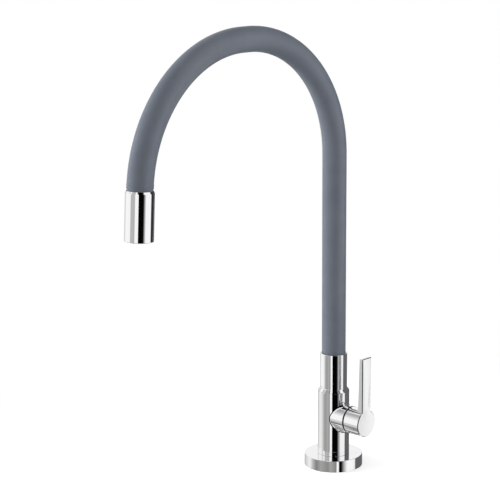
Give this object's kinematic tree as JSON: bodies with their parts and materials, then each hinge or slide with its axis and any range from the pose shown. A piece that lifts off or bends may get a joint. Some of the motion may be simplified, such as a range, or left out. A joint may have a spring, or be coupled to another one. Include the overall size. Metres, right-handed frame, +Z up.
{
  "type": "flexible kitchen faucet",
  "caption": "Single-hole kitchen tap with a stay-put silicone hose spout, side lever, swivelling sleeve and polished round foot.",
  "frame": {"origin": "middle of the foot's underside, on the counter over the deck hole", "axes": "+Z up along the body, -Y towards the outlet at rest, +X along the handle's axis"},
  "size_m": [0.0768, 0.3154, 0.472],
  "materials": {
    "chrome": "polished",
    "silicone": "smooth matt",
    "brass": "machined",
    "steel": "drawn",
    "rubber": "matt",
    "ceramic": "lapped",
    "plastic": "moulded"
  },
  "bodies": {
    "tap_body": {"base_flange": "chrome", "base_gasket": "rubber", "base_o_ring": "rubber", "valve_body": "chrome", "glide_ring": "plastic", "seat_washer": "rubber", "ceramic_disc_fixed": "ceramic", "headwork_body": "brass", "headwork_o_ring": "rubber", "seam_ring": "rubber"},
    "lever": {"handle": "chrome", "handle_screw": "steel", "headwork_spindle": "brass", "spindle_o_ring": "rubber", "spindle_clip": "steel", "ceramic_disc_moving": "ceramic"},
    "spout_base": {"spout_sleeve": "chrome", "snap_ring": "steel", "swivel_o_ring_lower": "rubber", "swivel_o_ring_upper": "rubber", "lower_hose_fitting": "brass", "lower_ferrule": "steel", "hose_cover": "silicone", "water_tube": "plastic", "core_stretch_1": "steel"},
    "neck_2": {"core_stretch_2": "steel"},
    "neck_3": {"core_stretch_3": "steel"},
    "neck_4": {"core_stretch_4": "steel"},
    "neck_5": {"core_stretch_5": "steel"},
    "outlet": {"core_stretch_6": "steel", "upper_hose_fitting": "brass", "upper_ferrule": "steel", "outlet_head": "chrome", "aerator_gasket": "rubber", "aerator_housing": "chrome", "aerator_insert": "plastic"}
  },
  "joints": [
    {"name": "handle_turn", "type": "hinge", "parent": "tap_body", "child": "lever", "pos_m": [0.0302, 0, 0.0541], "axis": [1, 0, 0], "range_deg": [0, 90]},
    {"name": "spout_swivel", "type": "hinge", "parent": "tap_body", "child": "spout_base", "pos_m": [0, 0, 0.0817], "axis": [0, 0, 1], "continuous": true},
    {"name": "neck_bend_1", "type": "hinge", "parent": "spout_base", "child": "neck_2", "pos_m": [0, 0, 0.22029], "axis": [1, 0, 0], "range_deg": [-25, 20], "deforming": ["hose_cover", "water_tube"]},
    {"name": "neck_bend_2", "type": "hinge", "parent": "neck_2", "child": "neck_3", "pos_m": [0, 0, 0.32678], "axis": [1, 0, 0], "range_deg": [-25, 12], "deforming": ["hose_cover", "water_tube"]},
    {"name": "neck_bend_3", "type": "hinge", "parent": "neck_3", "child": "neck_4", "pos_m": [0, -0.04151, 0.42725], "axis": [1, 0, 0], "range_deg": [-25, 12], "deforming": ["hose_cover", "water_tube"]},
    {"name": "neck_bend_4", "type": "hinge", "parent": "neck_4", "child": "neck_5", "pos_m": [0, -0.1471, 0.45881], "axis": [1, 0, 0], "range_deg": [-25, 12], "deforming": ["hose_cover", "water_tube"]},
    {"name": "neck_bend_5", "type": "hinge", "parent": "neck_5", "child": "outlet", "pos_m": [0, -0.23546, 0.41298], "axis": [1, 0, 0], "range_deg": [-25, 20], "deforming": ["hose_cover", "water_tube"]}
  ]
}
